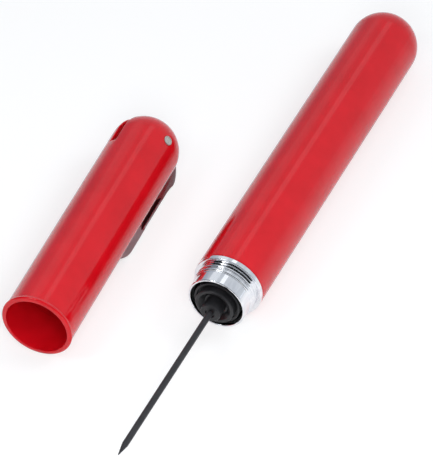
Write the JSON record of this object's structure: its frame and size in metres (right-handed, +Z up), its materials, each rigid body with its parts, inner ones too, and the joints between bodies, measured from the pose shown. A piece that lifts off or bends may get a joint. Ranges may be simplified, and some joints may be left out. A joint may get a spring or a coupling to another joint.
{
  "type": "air pump wine opener",
  "caption": "Pen-shaped air pump wine opener with a hollow needle, its domed cap lying beside it with a folding foil-cutter blade.",
  "frame": {"origin": "centre of the bounding box's base, on the surface that the pump and the cap lie on", "axes": "+Y along the pump's axis from the needle's point to the handle's dome, +Z up, the cap on the -X side"},
  "size_m": [0.0794, 0.2302, 0.0258],
  "materials": {
    "red_gloss": "glossy red lacquer",
    "red_moulding": "moulded red, semi-gloss",
    "chrome": "bright chrome plate",
    "black_plastic": "satin black",
    "needle_coat": "dark non-stick coat",
    "steel": "plain steel",
    "blade_steel": "polished steel",
    "rod_alloy": "plain",
    "white_plastic": "moulded white",
    "black_rubber": "matt"
  },
  "bodies": {
    "pump_core": {"neck_collar": "chrome", "pump_barrel": "white_plastic", "barrel_head": "white_plastic", "barrel_seal": "black_rubber", "needle_seat": "black_plastic", "seat_gasket": "black_rubber", "neck_liner": "black_rubber", "needle_hub": "black_plastic", "needle": "needle_coat", "valve_seat": "white_plastic", "valve_spring": "steel"},
    "check_ball": {"valve_ball": "steel"},
    "piston": {"piston_head": "white_plastic", "piston_seal": "black_rubber"},
    "handle": {"handle_sleeve": "red_gloss", "mouth_bush": "white_plastic", "piston_rod": "rod_alloy", "rod_washer": "steel", "rod_screw": "steel", "rod_nut": "steel"},
    "cap": {"cap_shell": "red_gloss", "blade_carrier": "red_moulding", "hinge_pin": "steel", "pivot_washers": "white_plastic"},
    "foil_cutter": {"foil_blade": "blade_steel"}
  },
  "joints": [
    {"name": "pump_stroke", "type": "slide", "parent": "pump_core", "child": "piston", "axis": [0, 1, 0], "range_m": [0, 0.0915]},
    {"name": "handle_swivel", "type": "hinge", "parent": "piston", "child": "handle", "pos_m": [0.02718, -0.0287, 0.0125], "axis": [0, 1, 0], "continuous": true},
    {"name": "check_valve", "type": "slide", "parent": "pump_core", "child": "check_ball", "axis": [0, -1, 0], "range_m": [0, 0.001], "stiffness_N_per_m": 290, "deforming": ["valve_spring"]},
    {"name": "cap_lift", "type": "slide", "parent": "pump_core", "child": "cap", "axis": [0, 0, 1], "range_m": [0, 0.06]},
    {"name": "blade_fold", "type": "hinge", "parent": "cap", "child": "foil_cutter", "pos_m": [-0.0272, 0.01731, 0.0129], "axis": [0.7495, 0.034, 0.6611], "range_deg": [0, 180]}
  ]
}
